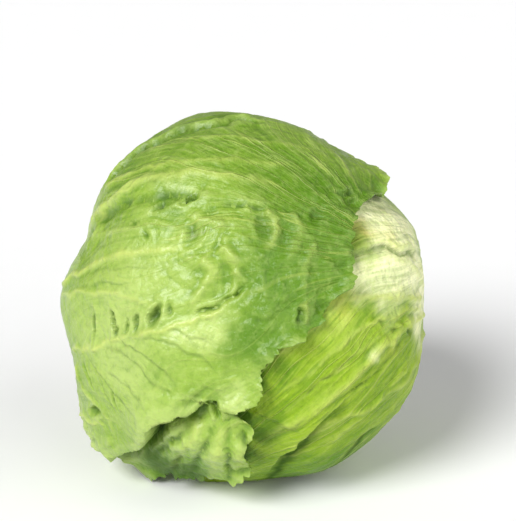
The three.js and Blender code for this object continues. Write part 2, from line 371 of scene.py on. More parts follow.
def plain_leaf(azimuth, from_stem, reach, half_width, stem_clear):
    """The chart of a plain wrapper leaf whose midrib leaves the stem at an azimuth round it."""
    a, g = azimuth * DEGREE, from_stem * DEGREE
    middle = np.array((math.sin(g) * math.cos(a), math.sin(g) * math.sin(a), -math.cos(g)))
    to_stem = unit(STEM_WAY - (STEM_WAY @ middle) * middle)
    across = np.cross(middle, to_stem)
    base = from_stem - stem_clear
    spots = [(0, base), (180, reach)]
    for side in (-1, 1):
        spots += [(side * 24, 0.92 * base), (side * 55, 0.9 * half_width)]
        spots += [(side * 95, half_width), (side * 140, (half_width + reach) / 2)]
    turn, distance = np.array(spots).T * DEGREE
    aside = np.cos(turn)[:, None] * to_stem + np.sin(turn)[:, None] * across
    return LeafChart(middle, np.cos(distance)[:, None] * middle + np.sin(distance)[:, None] * aside)


# The left leaf, as points in millimetres seen from the front
LEFT_MIDDLE = (-64, 2)
LEFT_FRONT = (
    (57, 43), (47, 40), (40, 32), (39, 20), (38, 7), (31, 0), (25, -10), (12, -18), (6, -26), (5, -36),
    (-6, -42), (1, -47), (-1, -56), (0, -66), (-10, -70), (-22, -73), (-44, -72),
)
LEFT_BACK = ((-46, -58), (-36, -34), (-22, -16), (-21, 4), (-24, 24), (-14, 50), (12, 66), (40, 60))
LEFT_ROOT = (-0.70, -0.20, -0.68)
LEFT_BULGES = (
    ((-62, -60), 20, 7.0), ((-38, -46), 14, 3.0), ((-30, -20), 16, 2.0), ((-36, 44), 18, 2.0),
    ((-50, 18), 16, 1.8), ((-22, 14), 12, 1.6), ((10, 2), 9, 1.6), ((4, 38), 14, 1.2), ((24, 14), 9, 1.0),
    ((-58, -32), 12, 1.4), ((-10, -30), 9, 1.6), ((-2, -40), 7, 3.0), ((-8, -58), 13, 5.5),
)
# Veins and soft folds as a half width, a height, how pale they are, and their line
LEFT_VEINS = (
    (1.3, 1.6, 1.0, ((-73, -21), (-61, -19), (-44, -13), (-27, -10), (-10, -3), (-3, 5))),
    (2.6, 2.2, 0.7, ((-66, 31), (-54, 40), (-38, 47), (-10, 49), (16, 45))),
    (1.6, 1.2, 0.6, ((-59, 46), (-38, 52), (1, 55.5), (24, 53))),
    (1.5, 1.0, 0.4, ((-50, 56), (-42, 61), (-12, 65), (14, 63), (36, 57))),
    (1.5, 1.6, 1.0, ((-77, 5), (-68, 11), (-55, 16), (-30, 19.5), (-20, 20))),
    (1.3, 1.3, 0.8, ((-77, 2), (-64, 3), (-50, 2.6), (-38, 0), (-32, -4))),
    (1.2, 1.4, 0.6, ((-70, -26), (-66, -36), (-58, -44), (-52, -54))),
    (1.1, 2.0, 1.0, ((-66, -45), (-61, -48.5), (-56, -50))),
    (1.6, 1.2, 0.2, ((-64, 26), (-50, 27), (-36, 29), (-24, 28))),
    (2.4, 2.6, 0.3, ((-17, 18), (-12.5, 13), (-13.5, 9), (-18, 3), (-22, -4))),
    (2.2, 2.4, 0.3, ((-10, 21), (-5, 14), (-4, 7), (-8, 2))),
    (2.2, 2.2, 0.2, ((-20, 33), (-11, 28), (-9, 23))),
    (2.0, 2.6, 0.5, ((7, 35), (11, 30), (10, 24), (6, 20))),
    (2.2, 2.0, 0.2, ((16, 35), (20, 28), (20, 22), (16, 16))),
    (1.8, 1.6, 0.2, ((26, 22), (24, 15), (20, 10))),
    (1.6, 2.2, 0.5, ((21.5, 0), (23.5, -3), (23, -8))),
    (2.0, 1.6, 0.1, ((-52, -55), (-60, -57), (-66, -54))),
    (2.2, 1.2, 0.5, ((-10, -47), (-11, -56), (-14, -68), (-15, -73))),
    (2.0, 1.2, 0.5, ((-16, -46), (-22, -54), (-27, -63), (-31, -72))),
    (1.8, 1.0, 0.4, ((-5, -48), (-2, -55), (-1, -64))),
    (1.2, 1.6, 0.6, ((-75, -30), (-70, -44), (-68, -56), (-62, -66))),
    (1.1, 1.4, 0.5, ((-72, -38), (-62, -52), (-54, -60))),
)
# Fine veins that branch from the main vein, drawn as lines of painted shadow, as a half width and their
# line
LEFT_HAIRLINES = (
    (0.8, ((-58, -19), (-45, -23), (-34, -31), (-24, -38))),
    (0.8, ((-64, -22), (-54, -35), (-44, -42), (-39, -48))),
    (0.7, ((-50, -15.5), (-38, -21), (-30, -27), (-25, -36))),
    (0.7, ((-40, -13), (-26, -17), (-16, -22), (-9, -31))),
    (0.7, ((-31, -11), (-20, -13.5), (-10, -18))),
    (0.7, ((-56, -28), (-46, -33), (-36, -42))),
    (0.6, ((-60, -26), (-55, -40), (-51, -47))),
    (0.7, ((-72, 8), (-58, 12), (-40, 13), (-30, 15))),
    (0.7, ((-70, 5), (-55, 7), (-42, 7))),
    (0.7, ((-70, 14), (-56, 21), (-44, 23))),
)
LEFT_GROOVES = (
    (2.4, 1.8, ((-64, 31), (-50, 37), (-35, 40), (-22, 41), (-13, 39))),
    (1.0, 1.6, ((-46, 31), (-40, 28), (-36, 23))),
    (0.9, 2.0, ((-23, -6.5), (-10, -1.5), (-2, 5), (0, 8))),
    (2.2, 3.0, ((-13, 71.5), (-4, 74), (6, 73))),
    (0.9, 1.6, ((-53.5, -35), (-52, -40), (-51, -44))),
    (1.0, 1.8, ((-66, -26), (-62, -33), (-60, -38))),
    (1.4, 1.4, ((0, -4), (6, -8), (12, -6))),
    (1.2, 1.8, ((30, 45), (38, 42), (44, 44))),
    (1.2, 3.2, ((-13, -37), (-10, -43), (-9, -47))),
    (1.4, 1.0, ((-12, 38), (0, 36), (8, 37))),
    (1.2, 1.2, ((-28, -40), (-20, -37), (-14, -33))),
    (1.2, 2.0, ((-70, -50), (-66, -54), (-62, -63))),
    (1.5, 1.5, ((-13, -46), (-16, -55), (-20, -66), (-22, -72))),
    (1.4, 1.4, ((-7, -48), (-6, -56), (-7, -66), (-8, -72))),
    (1.5, 1.5, ((-20, -46), (-27, -54), (-34, -62), (-40, -68))),
    (1.3, 1.8, ((-4, -48), (1, -54), (4, -58))),
    (1.3, 1.8, ((-25, -60), (-28, -66), (-30, -72))),
)
# Dents as a place, half length, half width, lean and depth
LEFT_PITS = (
    ((-54, -7.5), 2.9, 0.8, -5, 2.6), ((-62.5, -11), 4.6, 0.8, 22, 2.6), ((-35.5, -5.5), 4.2, 1.3, 25, 3.4),
    ((-42.5, -8.2), 3.0, 0.9, 15, 2.0), ((-47, -10), 2.6, 0.8, 18, 1.6), ((-52, -12.5), 2.2, 0.7, 40, 1.6),
    ((-30, -3), 2.6, 0.8, 10, 1.4), ((-32, 37), 3.6, 0.9, 78, 2.4), ((-21.5, 39.2), 3.0, 1.0, 68, 2.8),
    ((-20.5, 26), 4.6, 2.4, 20, 1.2), ((5.5, 29), 7.0, 2.0, -14, 1.3), ((-3.5, 74), 2.2, 2.4, 0, 3.4),
    ((-61, -45), 1.9, 2.8, -12, 2.6), ((-59, -58.5), 1.3, 3.0, -28, 2.2), ((20.5, -5), 4.2, 0.9, 10, 2.2),
    ((14, 24), 5.0, 2.0, -20, 0.5), ((28, 33), 3.5, 1.6, 30, 1.4), ((-8, -27), 3.2, 1.2, 24, 0.5),
)
# Folds as the lip's height, the gutter's depth, the overhang, their widths, and the line
LEFT_FOLDS = (
    (1.2, 2.8, 0.5, 4, 4.5,
     ((-60, 45), (-54, 53), (-46, 61), (-36, 67), (-25, 71), (-14, 72.5), (-2, 72))),
    (5.0, 9.0, 1.2, 10, 6.5,
     ((-64, -76), (-56, -68), (-51, -61), (-41, -57), (-37.5, -51), (-34, -46), (-21, -41), (-12, -36))),
)
# Patches as a place, a width and a strength
# The margins' deeper green, with painted shade at the foot of the frill and in the band under the upper
# vein
LEFT_DEEP_GREEN_AND_SHADE = (
    (24, 30, 26, 0.65), (12, 6, 18, 0.65), (24, -2, 14, 0.9), (0, -18, 13, 0.8), (38, 42, 22, 0.5),
    (40, 22, 9, 0.8), (37, 8, 9, 0.8), (46, 38, 10, 0.8), (56, 44, 8, 0.7), (14, -14, 8, 0.6),
    (-16, -72, 14, 0.6), (2, 66, 36, 0.5), (-40, 64, 22, 0.3), (-30, 39, 9, 0.5), (-50, 34, 8, 0.4),
    (-32, -72, 20, 1.0),
)
# Painted shade where the left leaf turns away under the silhouette and at its foot
LEFT_SHADE = (
    (-50, 57, 5, 0.5), (-38, 66, 5, 0.65), (-24, 72, 5, 0.7), (-8, 76, 5, 0.6),
    (-27, -72, 12, 1.0), (-12, -76, 8, 0.7), (-40, -68, 9, 0.5),
)
# The left leaf's paler body, with painted sheen on its glossy patches
LEFT_PALE_AND_SHEEN = (
    (-42, 8, 26, 0.5), (-45, -30, 24, 0.55), (-62, -56, 16, 0.8), (-15, -11, 9, 0.9), (-4, -38, 7, 0.7),
    (-70, -8, 22, 0.3), (-12, -58, 12, 0.3), (-66, 32, 7, 0.6),
)
# Where the left leaf is streaked along its veins, and where it is crinkled
LEFT_STREAKY = (
    (-10, 60, 38, 1.0), (36, 44, 26, 0.8), (-54, 40, 16, 0.7), (-20, 36, 20, 0.6), (30, 14, 16, 0.4),
)
LEFT_LIVELY = (
    (-8, 22, 26, 0.9), (22, 14, 22, 0.6), (-62, 30, 12, 0.8), (-62, -58, 16, 1.0), (-8, -50, 18, 1.0),
    (40, 40, 20, 0.7), (-44, 0, 12, 0.4), (0, 74, 16, 0.6), (-45, 66, 12, 0.6),
)

# The right leaf, in the same way
RIGHT_MIDDLE = (68, -14)
RIGHT_FRONT_LOW = ((-14, -58), (-16, -76))
RIGHT_BACK = (
    (-14, -68), (14, -58), (34, -44), (34, -26), (22, -12), (21, 6), (30, 28), (50, 46),
)
RIGHT_FRONT_HIGH = ((54, 56), (24, 48), (4, 20), (-6, -14), (-10, -38))
RIGHT_ROOT = (0.93, 0.22, -0.28)
RIGHT_BULGES = (
    ((56, 32), 14, 2.2), ((64, 8), 16, 1.8), ((40, -34), 14, 2.0), ((66, -34), 14, 2.4),
    ((20, -50), 10, 1.8), ((30, -68), 10, 2.0), ((50, -48), 10, 1.6),
)
RIGHT_VEINS = (
    (2.2, 2.6, 0.9, ((76, -6), (66, -11), (55, -18), (45, -27), (31, -39.5), (18, -49), (7, -59))),
    (1.7, 1.8, 0.8, ((74, 0), (58, 1), (40, 0), (29, -9), (15, -20), (6, -27))),
    (1.7, 1.8, 0.6, ((77, -14), (70, -26), (59, -37), (44, -46), (34, -50), (22, -60))),
    (1.4, 1.2, 0.6, ((75, -3), (60, -6), (46, -11), (34, -20), (20, -32), (8, -42))),
    (1.4, 1.0, 0.3, ((76, 2), (71, 20), (60, 36), (50, 45))),
    (2.4, 1.6, 0.2, ((75, 6), (66, 14), (54, 17), (42, 11))),
    (1.4, 1.4, 0.6, ((78, -22), (70, -42), (54, -58), (40, -66))),
    (1.2, 1.0, 0.5, ((66, -26), (52, -42), (40, -54), (30, -64))),
    (1.0, 0.9, 0.5, ((70, -8), (56, -13), (42, -22), (28, -33), (14, -46))),
)
RIGHT_GROOVES = (
    (1.0, 1.2, ((50, -6), (60, -12), (70, -14))),
    (0.9, 1.0, ((20, -40), (32, -30), (44, -20))),
    (1.0, 1.2, ((30, -44), (44, -34), (56, -26))),
)
RIGHT_FOLDS = (
    (1.3, 1.9, 0.3, 5, 3.5, ((36, 12), (41, 17), (48, 21), (55, 21.5), (62, 20), (72, 21))),
    (1.2, 1.6, 0.2, 6, 5.0, ((36, -67.5), (44, -60.5), (55, -50.5), (63, -41.5))),
    (1.4, 2.0, 0.2, 7, 6.0, ((9, -74), (16.5, -63), (25, -53.7), (33, -45), (40, -38.5))),
)
# Lines of painted shadow beside the folds, as a half width, a strength and their line
RIGHT_SLIT_SHADOWS = (
    (2.2, 1.0, ((8, -80), (16.5, -68), (25, -58), (32, -50), (36, -45))),
    (1.8, 0.9, ((34, -74), (44, -64.5), (54, -54.5), (61, -47))),
    (1.0, 0.5, ((8, -58), (16, -52), (26, -43))),
    (1.0, 0.4, ((40, -36), (52, -26), (64, -17), (72, -12))),
)
RIGHT_PALE = (
    (46, 12, 9, 0.5), (34, -2, 9, 0.5), (36, -14, 15, 0.35), (72, -38, 10, 0.4),
    (30, -40, 8, 0.3), (10, -54, 8, 0.3),
)
RIGHT_CREAM = (
    (68, 20, 20, 0.9), (74, 2, 14, 0.6), (53, 39, 18, 1.3), (57, 8, 13, 0.55),
    (50, -23, 5, 0.8), (62, 30, 14, 0.6), (44, 10, 8, 0.5), (73, -14, 8, 0.5),
)
RIGHT_WARM = (
    (46, 27, 7, 0.7), (58, 27, 8, 0.5), (42, 8, 6, 0.4), (66, -32, 10, 0.3),
    (58, -20, 6, 0.4), (38, -2, 6, 0.4),
)
# Painted shade at the right leaf's foot and beside the left leaf's margin and frill
RIGHT_SHADE = ((22, -77, 13, 0.75), (40, -72, 9, 0.5), (5, -54, 7, 0.6), (4, -66, 7, 0.6), (9, -33, 5, 0.4))
# Deeper green, with painted shade at the foot, beside the left leaf's frill and along the upper fold
RIGHT_DEEP_GREEN_AND_SHADE = (
    (6, -52, 9, 0.9), (24, -22, 12, 0.2), (52, -36, 12, 0.35), (26, -74, 20, 1.0), (12, -30, 7, 0.6),
    (58, 20, 6, 0.5), (48, -62, 14, 0.7), (66, -44, 9, 0.4),
)


def draw_left(relief):
    """The left leaf's bulges, veins, creases, dents and folds."""
    draw_marks(relief, LEFT_BULGES, LEFT_VEINS, LEFT_GROOVES, LEFT_FOLDS)
    for width, points in LEFT_HAIRLINES:
        relief.hairline(points, width)
    for at, long, short, lean, depth in LEFT_PITS:
        relief.pit(at, long, short, lean, depth)
    relief.lively = 0.35 + 0.9 * relief.blots(LEFT_LIVELY)


def paint_left(relief):
    """The left leaf's deeper green margin, pale body with painted sheen and streaked top, and painted shade
    under its upper vein, along its top edge and at its foot.
    """
    relief.deep = relief.blots(LEFT_DEEP_GREEN_AND_SHADE)
    relief.painted_shade = np.maximum(relief.painted_shade, 0.7 * relief.blots(LEFT_SHADE))
    relief.pale = relief.blots(LEFT_PALE_AND_SHEEN)
    relief.streaky = 0.3 + 0.7 * relief.blots(LEFT_STREAKY)


def draw_right(relief):
    """The right leaf's ribs, creases and folds."""
    draw_marks(relief, RIGHT_BULGES, RIGHT_VEINS, RIGHT_GROOVES, RIGHT_FOLDS)
    for width, strength, points in RIGHT_SLIT_SHADOWS:
        relief.slit(points, width, strength)
    relief.lively = np.full(len(relief.ways), 0.28)


def paint_right(relief):
    """The right leaf's cream base and deeper green, and painted shade at its foot and beside the left
    leaf's frill.
    """
    relief.deep = relief.blots(RIGHT_DEEP_GREEN_AND_SHADE)
    relief.painted_shade = np.maximum(relief.painted_shade, 0.7 * relief.blots(RIGHT_SHADE))
    relief.pale = relief.blots(RIGHT_PALE)
    relief.warm = relief.blots(RIGHT_WARM)
    from_root = between(relief.ways, relief.leaf.root) * CROWN_DEPTH
    relief.cream = np.maximum(relief.blots(RIGHT_CREAM), 0.75 * bell(from_root, 27))
    relief.streaky = 1 - 0.5 * relief.cream


def draw_marks(relief, bulges, veins, grooves, folds):
    for at, width, height in bulges:
        relief.bulge(at, width, height)
    for width, height, pale, points in veins:
        relief.ridge(points, width, height, pale)
    for width, depth, points in grooves:
        relief.groove(points, width, depth)
    for lip, gutter, overhang, lip_width, gutter_width, points in folds:
        relief.fold(points, lip, gutter, overhang, lip_width, gutter_width)


def leave_plain(relief):
    """A leaf that is hidden from the front has only the marks that every leaf has."""


class Leaf:
    """One wrapper leaf: where it lies and how its sheet is shaped."""

    # Lengths are in millimetres and angles are from the stem
    RISE_WHERE_BARE = 0.45
    CLEARANCE = 0.5
    COVERED = (1.05, 1.3)
    PRESSED = (1.02, 1.3)
    PRESSED_RISE = 40
    COVERED_RELIEF = 0.35
    RIB_COUNT = 11
    RIB_START = (16 * DEGREE, 24 * DEGREE)
    RIB_END = (35 * DEGREE, 80 * DEGREE)
    RIB_PALE = 0.7
    PALE_BASE = (22 * DEGREE, 62 * DEGREE)
    FAN_WIDTH = 62
    BEND_FROM = 0.8
    STREAKS_FROM = (8, 30)
    STREAK_STRETCH = (1, 1, 6)
    STREAK_SHARE = 0.7
    OPEN_SIDE = (35 * DEGREE, 70 * DEGREE)
    MARGIN_POWER = 14
    FRILL_REACH = 1.05
    FRILL_CREST = 0.8
    SAW_SHARE = 1.3

    def __init__(
        self, name, slot, layer, chart, root, wander, draw=leave_plain, paint=leave_plain, bend=0.0
    ):
        self.name = name
        self.slot = slot
        self.layer = layer
        self.chart = chart
        self.wander = wander
        self.bend = bend
        self.draw = draw
        self.paint = paint
        self.root = unit(np.array(root, float))
        self.along = unit(chart.middle - (chart.middle @ self.root) * self.root)
        self.across = np.cross(self.root, self.along)
        self.noise = Noise(100 + 7 * layer + len(name))

    def surface(self, ways, outer, shape):
        """The leaf's relief and its outer face's distance from the centre, under its covers."""
        relief = Relief(ways)
        relief.leaf = self
        for mark in ("deep", "pale", "warm", "cream"):
            setattr(relief, mark, np.zeros(len(ways)))
        relief.lively = np.ones(len(ways))
        relief.streaky = np.ones(len(ways))
        relief.share = self.chart.share(ways)
        self.draw(relief)
        self.draw_texture(relief, shape)
        covers = [cover for cover in outer if cover.leaf.layer < self.layer]
        bare = np.ones(len(ways))
        for cover in covers:
            bare *= smoothstep(*self.COVERED, cover.share)
        depth = LAYER_PITCH * self.layer * (1 - self.RISE_WHERE_BARE * bare)
        relief.bare = bare
        quiet = self.COVERED_RELIEF + (1 - self.COVERED_RELIEF) * bare
        radius = plain_radius(ways) + pucker(ways) - depth + quiet * relief.height
        radius += bare * self.frill(relief, shape)
        radius = np.minimum(radius, floor_limit(ways))
        gap = shape.leaf_thickness / MM + self.CLEARANCE
        for cover in covers:
            free = self.PRESSED_RISE * smoothstep(*self.PRESSED, cover.share)
            radius = np.minimum(radius, cover.radius - gap + free)
        relief.radius = radius
        return relief

    def draw_texture(self, relief, shape):
        """Ribs from the stem, pleats and streaks that fan from the root, and blisters between them."""
        ways, spots, noise = relief.ways, relief.spots, self.noise
        away = between(ways, self.root) * CROWN_DEPTH
        fan = np.arctan2(ways @ self.across, ways @ self.along)
        fan += self.wander * noise(spots, 36) + 0.02 * noise(spots, 14)
        fan -= self.bend * np.maximum(away / CROWN_DEPTH - self.BEND_FROM, 0) ** 2
        wide = self.FAN_WIDTH
        relief.flow = np.column_stack((wide * np.cos(fan), wide * np.sin(fan), away))
        flow = relief.flow / self.STREAK_STRETCH
        grown = smoothstep(*self.STREAKS_FROM, away)
        pleats = 1 - 2 * np.abs(noise(flow, 11))
        streaks = 0.6 * noise(flow + 40, 4) + 0.4 * noise(flow + 80, 2.2)
        around = np.arctan2(ways[:, 1], ways[:, 0]) + 0.10 * noise(spots, 30)
        from_stem = between(ways, STEM_WAY)
        ribs = (0.5 + 0.5 * np.cos(2 * self.RIB_COUNT * around + self.layer)) ** 2
        at_base = smoothstep(*self.RIB_START, from_stem) * (1 - smoothstep(*self.RIB_END, from_stem))
        relief.base = 1 - smoothstep(*self.PALE_BASE, from_stem)
        relief.vein = np.maximum(relief.vein, self.RIB_PALE * at_base * ribs**3)
        relief.height += shape.rib_height / MM * at_base * ribs
        stirred = spots + relief.waver(5, 16)
        blisters = 0.9 * noise(stirred, 15) + 0.8 * (np.abs(noise(stirred + 60, 9)) - 0.3)
        crinkles = 0.6 * (np.abs(noise(stirred + 20, 4.5)) - 0.3) + 0.3 * np.abs(noise(stirred + 90, 2.7))
        blisters += crinkles
        relief.height += shape.blister_height / MM * blisters * relief.lively
        relief.height += shape.vein_height / MM * grown * (pleats + self.STREAK_SHARE * streaks)
        relief.grown = grown

    def open_side(self, ways):
        """One where the margin is free, and nothing near the stem."""
        return smoothstep(*self.OPEN_SIDE, between(ways, STEM_WAY))

    def frill(self, relief, shape):
        """How far the margin stands off the head, in waves along it."""
        rise = np.minimum(relief.share, self.FRILL_REACH) ** self.MARGIN_POWER
        wave = 0.5 + 0.8 * self.noise(relief.spots + 50, 12) + 0.6 * self.noise(relief.spots + 90, 6)
        wave = np.minimum(wave, self.FRILL_CREST)
        return shape.frill_height / MM * self.open_side(relief.ways) * rise * wave

    def margin_teeth(self, angle, shape):
        """How far the margin reaches past its plain outline, in millimetres: lobes with small teeth."""
        ways = self.chart.way(angle, self.chart.reach(angle))
        spots = ways * CROWN_DEPTH
        uneven = 0.95 + 0.5 * self.noise(spots + 140, 22)
        saw = np.abs(self.noise(spots + 20, 4.2)) + 0.5 * np.abs(self.noise(spots + 70, 2.0))
        lobes = self.noise(spots, 9)
        return shape.tooth_depth / MM * self.open_side(ways) * uneven * (self.SAW_SHARE * saw + lobes)


def leaf_list():
    """The wrapper leaves from the outermost in."""
    left = np.concatenate((front(LEFT_FRONT), back(LEFT_BACK)))
    right = np.concatenate((front(RIGHT_FRONT_LOW), back(RIGHT_BACK), front(RIGHT_FRONT_HIGH)))
    left_chart = LeafChart(front([LEFT_MIDDLE])[0], left)
    right_chart = LeafChart(front([RIGHT_MIDDLE])[0], right)
    return (
        Leaf("leaf_left", "leaf_outer", 0, left_chart, LEFT_ROOT, 0.16, draw_left, paint_left),
        Leaf("leaf_right", "leaf_pale", 1, right_chart, RIGHT_ROOT, 0.06, draw_right, paint_right, 0.5),
        Leaf("leaf_lower", "leaf_outer", 2, plain_leaf(-72, 76, 46, 54, 19), STEM_WAY, 0.08),
        Leaf("leaf_top", "leaf_outer", 2, plain_leaf(93, 74, 50, 58, 19), STEM_WAY, 0.08),
        Leaf("leaf_under", "leaf_outer", 3, plain_leaf(-132, 72, 46, 56, 19), STEM_WAY, 0.08),
        Leaf("leaf_upper_right", "leaf_pale", 3, plain_leaf(40, 70, 52, 56, 19), STEM_WAY, 0.08),
    )


LEAVES = leaf_list()


def disc_points(cells):
    """The share from the middle and the angle of each point of a square sheet laid on a round leaf."""
    line = np.linspace(-1, 1, cells + 1)
    p, q = (grid.ravel() for grid in np.meshgrid(line, line))
    wide = np.abs(p) > np.abs(q)
    share = np.where(wide, np.abs(p), np.abs(q))
    safe_p = np.where(p == 0, 1, p)
    safe_q = np.where(q == 0, 1, q)
    across = math.pi / 4 * q / safe_p + np.where(p < 0, math.pi, 0)
    up = math.pi / 2 - math.pi / 4 * p / safe_q + np.where(q < 0, math.pi, 0)
    return share, np.where(wide, across, up)


def rim_of(rows):
    """The border of a square table of point numbers, once round."""
    return np.concatenate((rows[0, :-1], rows[:-1, -1], rows[-1, :0:-1], rows[:0:-1, 0]))


def quads_of(rows):
    return np.stack((rows[:-1, :-1], rows[:-1, 1:], rows[1:, 1:], rows[1:, :-1]), axis=-1).reshape(-1, 4)


def build_mesh(name, points, faces, marks):
    """A smooth mesh of points in the face frame, with a number at each point for each mark."""
    mesh = bpy.data.meshes.new(name)
    mesh.from_pydata(to_frame(points).tolist(), [], faces)
    for mark, values in marks.items():
        layer = mesh.attributes.new(mark, "FLOAT", "POINT")
        layer.data.foreach_set("value", np.asarray(values, np.float32))
    mesh.validate()
    mesh.shade_smooth()
    mesh.set_sharp_from_angle(angle=SHARP_EDGE)
    piece = bpy.data.objects.new(name, mesh)
    bpy.context.collection.objects.link(piece)
    return piece


# A leaf's inner face has every third point; the hollows and crests of its relief, which get painted shade
# and painted highlights, are measured over some cells; and a leaf gets painted shade and a painted shadow
# for some shares of its cover's reach past the cover's margin
INNER_STRIDE = 3
HOLLOW_CELLS = 5
HOLLOW_SHADE_DEPTHS = (0.05, 0.9)
CREST_HIGHLIGHT_HEIGHTS = (0.05, 0.8)
DEEP_SHADE_UNDER_MARGIN = 0.09
SHADOW_UNDER_MARGIN = 0.035
GAP_SHADOW_STRENGTH = 0.55
SHARP_EDGE = 70 * DEGREE


def smoothed(table, reach):
    """A square table of numbers with each one averaged over the cells within reach."""
    wide = 2 * reach + 1
    for _ in range(2):
        rows = np.pad(table, ((reach + 1, reach), (0, 0)), mode="edge").cumsum(axis=0)
        table = ((rows[wide:] - rows[:-wide]) / wide).T
    return table


def build_leaf(leaf, cells, shape):
    """A leaf as a thin closed sheet: a fine outer face, a coarser inner face and the rim between them."""
    share, angle = disc_points(cells)
    teeth = share**leaf.MARGIN_POWER * leaf.margin_teeth(angle, shape)
    reach = leaf.chart.reach(angle) + teeth / CROWN_DEPTH
    ways = leaf.chart.way(angle, share * reach)
    outer = []
    for cover in LEAVES:
        if cover.layer < leaf.layer:
            outer.append(cover.surface(ways, outer, shape))
    relief = leaf.surface(ways, outer, shape)
    leaf.paint(relief)
    # Painted shade, as deeper green, and a painted shadow on this leaf just past each covering leaf's
    # margin
    for cover in outer:
        past_margin = (cover.share - 1) / np.maximum(relief.uneven, 0.5)
        relief.deep = np.maximum(relief.deep, 1 - smoothstep(0.0, DEEP_SHADE_UNDER_MARGIN, past_margin))
        gap_shadow = GAP_SHADOW_STRENGTH * (1 - smoothstep(0.0, SHADOW_UNDER_MARGIN, past_margin))
        relief.painted_shade = np.maximum(relief.painted_shade, gap_shadow)
    points = ways * relief.radius[:, None] + relief.bare[:, None] * relief.slide
    side = cells + 1
    sheet = points.reshape(side, side, 3)
    facing = unit(np.cross(np.gradient(sheet, axis=1), np.gradient(sheet, axis=0)) + 1e-9)
    inner = (sheet - shape.leaf_thickness / MM * facing)[::INNER_STRIDE, ::INNER_STRIDE]
    rows = np.arange(side * side).reshape(side, side)
    inner_side = inner.shape[0]
    inner_rows = side * side + np.arange(inner_side**2).reshape(inner_side, inner_side)
    faces = quads_of(rows).tolist() + quads_of(inner_rows)[:, ::-1].tolist()
    faces += rim_faces(rim_of(rows), rim_of(inner_rows))
    height = relief.radius - plain_radius(ways) - pucker(ways)
    above = height - smoothed(height.reshape(side, side), HOLLOW_CELLS).ravel()
    marks = {
        "vein": relief.vein,
        "painted_shade": relief.painted_shade,
        "deep": relief.deep,
        "pale": relief.pale,
        "cream": relief.cream,
        "warm": relief.warm,
        "base": relief.base,
        "grown": relief.grown * relief.streaky,
        "flow_x": relief.flow[:, 0] * MM,
        "flow_y": relief.flow[:, 1] * MM,
        "along": relief.flow[:, 2] * MM,
        "hollow_shade": smoothstep(*HOLLOW_SHADE_DEPTHS, -above),
        "crest_highlight": smoothstep(*CREST_HIGHLIGHT_HEIGHTS, above),
    }
    every = rows[::INNER_STRIDE, ::INNER_STRIDE].ravel()
    marks = {mark: np.concatenate((values, values[every])) for mark, values in marks.items()}
    return build_mesh(f"{leaf.name}_blade", np.concatenate((points, inner.reshape(-1, 3))), faces, marks)


def rim_faces(outer, inner):
    """The faces between a fine border and a border with every third of its points."""
    faces = []
    for k in range(len(inner)):
        here, following = int(inner[k]), int(inner[(k + 1) % len(inner)])
        run = [int(outer[(INNER_STRIDE * k + j) % len(outer)]) for j in range(INNER_STRIDE + 1)]
        faces.append((run[0], here, run[1]))
        faces.append((run[1], here, following))
        faces.append((run[1], following, run[2]))
        faces.append((run[2], following, run[3]))
    return faces


HEART_CELLS = (160, 80)
HEART_SINK = 4.6 * LAYER_PITCH
HEART_WRAPS = 5
WRAP_LEAN = 0.8
WRAP_STEP = 0.8
WRAP_UNEVEN = 0.5
STEM_SEAT = 17 * DEGREE
STEM_SEAT_DEPTH = 8
HEART_PALE = (20 * DEGREE, 60 * DEGREE)


def build_heart(columns, rows):
    """The dense heart: wraps of inner leaves with low steps between them."""
    turn = np.arange(columns) * TURN / columns
    lean = np.linspace(0, math.pi, rows + 1)[1:-1]
    around, up = (grid.ravel() for grid in np.meshgrid(turn, lean))
    ways = np.column_stack((np.sin(up) * np.cos(around), np.sin(up) * np.sin(around), np.cos(up)))
    ways = np.concatenate((ways, ((0, 0, 1), (0, 0, -1))))
    noise = Noise(5)
    wraps = HEART_WRAPS * np.arctan2(ways[:, 1], ways[:, 0]) / TURN + WRAP_LEAN * ways[:, 2]
    step = (wraps - np.floor(wraps)) * (1 - ways[:, 2] ** 4)
    radius = plain_radius(ways) + pucker(ways) - HEART_SINK - WRAP_STEP * step
    radius += WRAP_UNEVEN * noise(ways * CROWN_DEPTH, 12)
    radius = np.minimum(radius, floor_limit(ways) - HEART_SINK)
    by_stem = between(ways, STEM_WAY) < STEM_SEAT
    radius = np.where(by_stem, np.minimum(radius, STEM_CUT - STEM_SEAT_DEPTH), radius)
    table = np.arange(columns * (rows - 1)).reshape(rows - 1, columns)
    table = np.column_stack((table, table[:, 0]))
    faces = quads_of(table)[:, ::-1].tolist()
    crown, stem = columns * (rows - 1), columns * (rows - 1) + 1
    for k in range(columns):
        faces.append((crown, int(table[0, k]), int(table[0, k + 1])))
        faces.append((stem, int(table[-1, k + 1]), int(table[-1, k])))
    marks = {"base": 1 - smoothstep(*HEART_PALE, between(ways, STEM_WAY))}
    return build_mesh("heart_leaves", ways * radius[:, None], faces, marks)


# The stem's side as a radius and a distance from the head's centre, from the core's tip to the cut's edge
STEM_PROFILE = ((0, 20), (5.6, 21.5), (9, 27), (13, 46.4), (15.6, 60), (16, 62), (15.8, 63.4), (15, 64))
STEM_CELLS = (96, 40)
STEM_RIDGES = 9
STEM_TIP_START = 0.02
CUT_MIDDLE = 0.4


